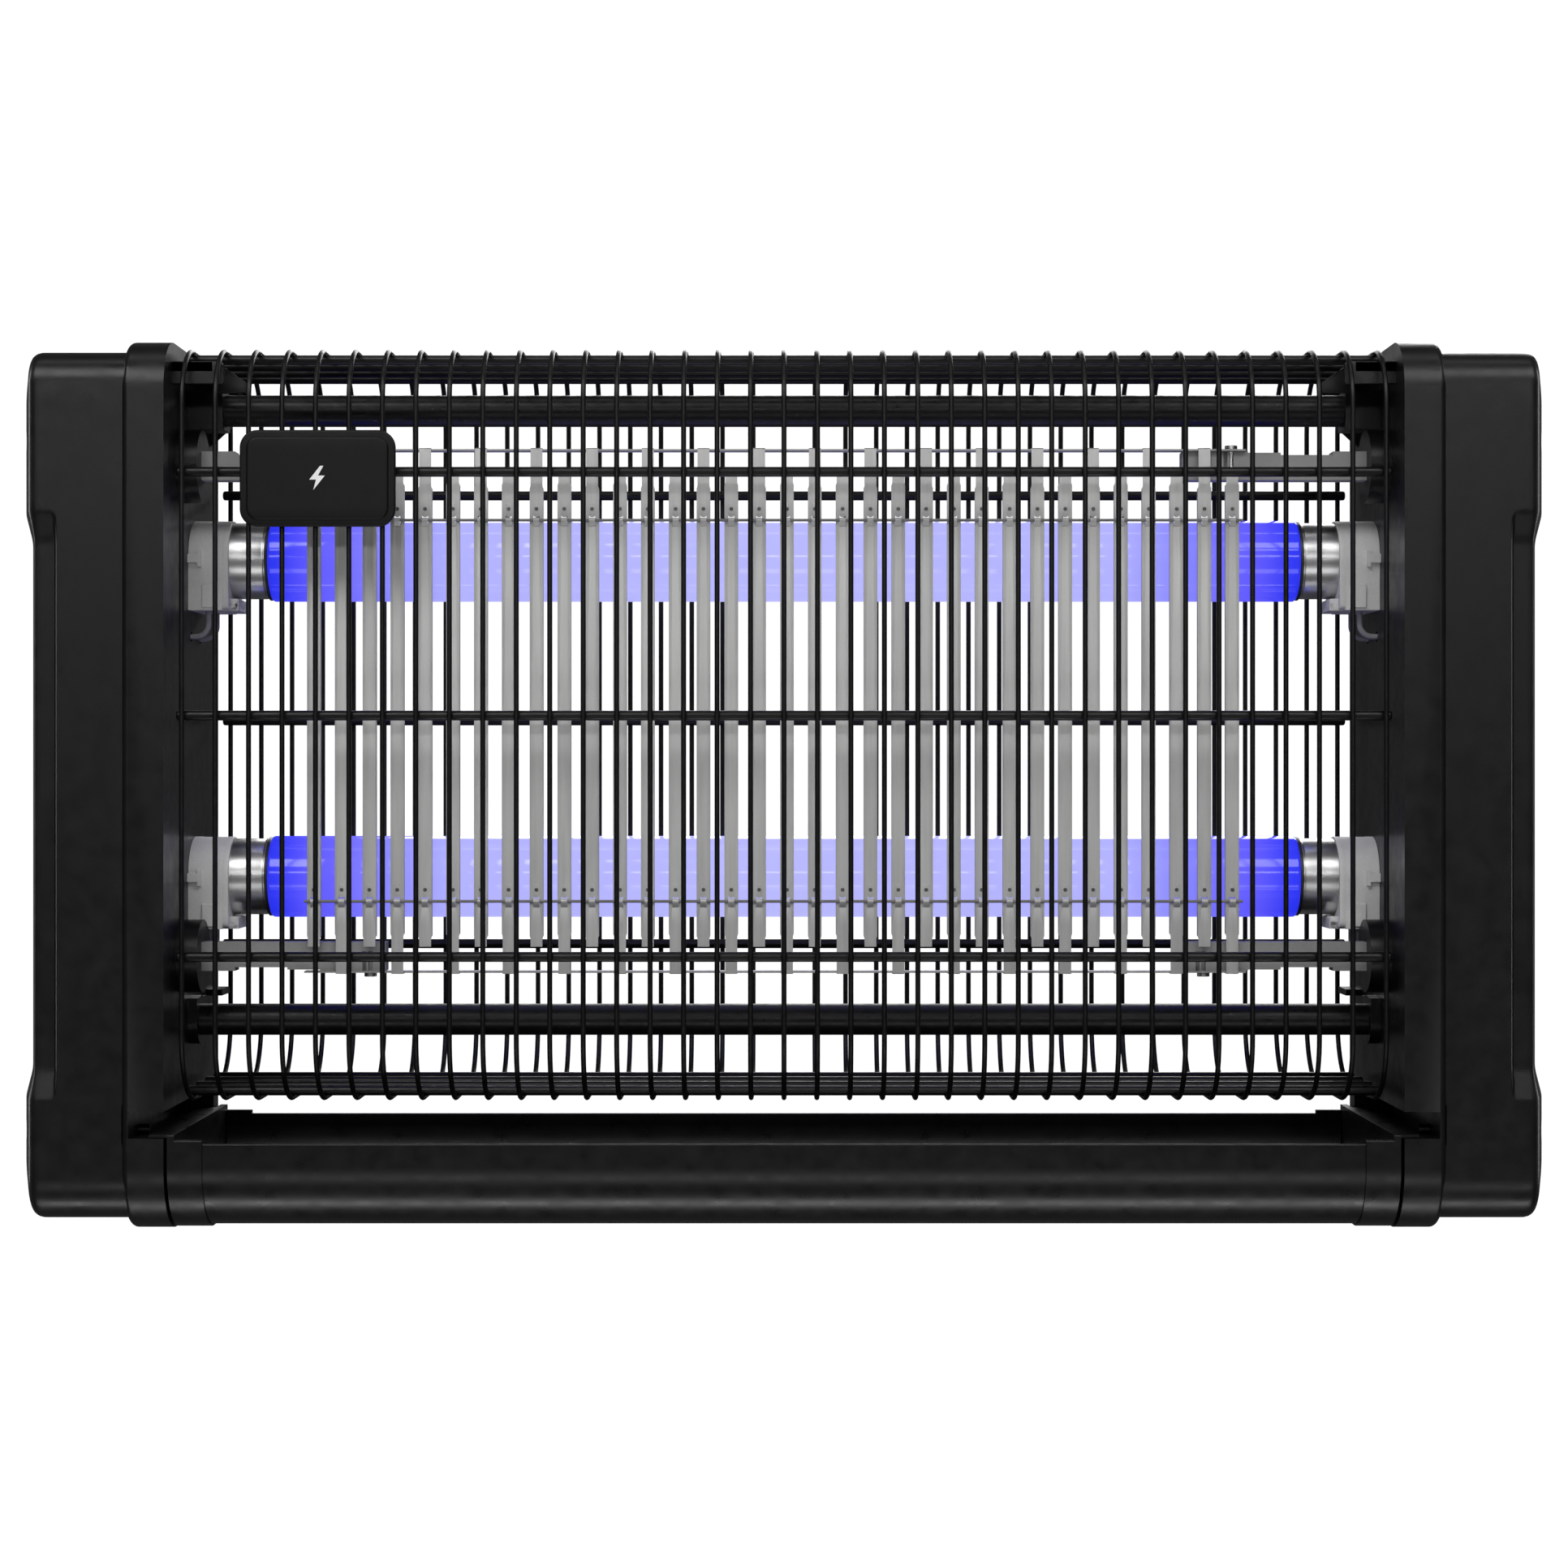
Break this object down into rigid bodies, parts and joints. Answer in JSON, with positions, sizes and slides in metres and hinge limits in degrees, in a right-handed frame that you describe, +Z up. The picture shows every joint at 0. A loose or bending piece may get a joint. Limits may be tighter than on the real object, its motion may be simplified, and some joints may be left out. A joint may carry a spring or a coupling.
{
  "type": "electric bug zapper",
  "caption": "Electric insect killer: wire cage between two end housings, ultraviolet tube lamps behind a high-voltage strip grid, slide-out catch tray.",
  "frame": {"origin": "centre of the footprint, on the surface the two end housings stand on", "axes": "+X to the right along the lamps, +Y away from the viewer through the depth, +Z up"},
  "size_m": [0.46, 0.088, 0.268],
  "materials": {
    "black_plastic": "fine-grained black moulding",
    "coated_wire": "satin black coating on welded wire",
    "black_tube": "satin black coating",
    "grid_steel": "rolled zinc-plated sheet",
    "glass_fibre": "drawn glass-fibre rod",
    "plated_steel": "bright zinc plate",
    "grey_plastic": "light grey moulding",
    "lamp_glass": "phosphor-coated glass tube, lit",
    "lamp_metal": "nickel-plated",
    "brass": "bare brass",
    "clear_glass": "clear glass stem with a coil",
    "lead_sheath": "smooth dark sheath",
    "circuit_board": "green solder mask",
    "component_body": "moulded and wound components"
  },
  "bodies": {
    "housing": {"badge": "black_plastic", "ballast_board": "circuit_board", "ballast_capacitors": "component_body", "ballast_chokes": "component_body", "board_connectors": "component_body", "board_screws": "plated_steel", "busbar_screws": "plated_steel", "cover_screws": "plated_steel", "crossover_cable": "lead_sheath", "grid_strips_a": "grid_steel", "grid_strips_b": "grid_steel", "guard_hoops": "coated_wire", "guard_rods": "coated_wire", "high_voltage_board": "circuit_board", "high_voltage_capacitors": "component_body", "high_voltage_leads": "lead_sheath", "high_voltage_transformer": "component_body", "holder_screws": "plated_steel", "inlet_pins": "brass", "insulator_screws": "plated_steel", "lamp_contacts": "brass", "left_end_frame": "black_plastic", "left_outer_cover": "black_plastic", "left_terminal_block": "black_plastic", "lower_busbar": "grid_steel", "lower_lamp_leads": "lead_sheath", "lower_left_insulator": "grey_plastic", "lower_left_lamp_holder": "grey_plastic", "lower_right_insulator": "grey_plastic", "lower_right_lamp_holder": "grey_plastic", "lower_spacer_rod": "glass_fibre", "lower_tie_tube": "black_tube", "mains_inlet": "black_plastic", "mains_leads": "lead_sheath", "right_end_frame": "black_plastic", "right_outer_cover": "black_plastic", "switch_housing": "black_plastic", "tie_tube_nuts": "plated_steel", "upper_busbar": "grid_steel", "upper_lamp_leads": "lead_sheath", "upper_left_insulator": "grey_plastic", "upper_left_lamp_holder": "grey_plastic", "upper_right_insulator": "grey_plastic", "upper_right_lamp_holder": "grey_plastic", "upper_spacer_rod": "glass_fibre", "upper_tie_tube": "black_tube"},
    "tray": {"tray_body": "black_plastic", "left_tray_end": "black_plastic", "right_tray_end": "black_plastic"},
    "upper_lamp": {"upper_lamp_glass": "lamp_glass", "upper_lamp_caps": "lamp_metal", "upper_lamp_pins": "brass", "upper_lamp_cathodes": "clear_glass", "upper_lamp_rotors": "grey_plastic"},
    "lower_lamp": {"lower_lamp_glass": "lamp_glass", "lower_lamp_caps": "lamp_metal", "lower_lamp_pins": "brass", "lower_lamp_cathodes": "clear_glass", "lower_lamp_rotors": "grey_plastic"},
    "rocker": {"switch_rocker": "black_plastic"}
  },
  "joints": [
    {"name": "tray_slide", "type": "slide", "parent": "housing", "child": "tray", "axis": [0, -1, 0], "range_m": [0, 0.088]},
    {"name": "upper_lamp_twist", "type": "hinge", "parent": "housing", "child": "upper_lamp", "pos_m": [0, 0.006, 0.2044], "axis": [1, 0, 0], "range_deg": [0, 90]},
    {"name": "lower_lamp_twist", "type": "hinge", "parent": "housing", "child": "lower_lamp", "pos_m": [0, 0.006, 0.1055], "axis": [1, 0, 0], "range_deg": [0, 90]},
    {"name": "switch_rock", "type": "hinge", "parent": "housing", "child": "rocker", "pos_m": [0.207, 0.0395, 0.093], "axis": [1, 0, 0], "range_deg": [0, 24]}
  ]
}
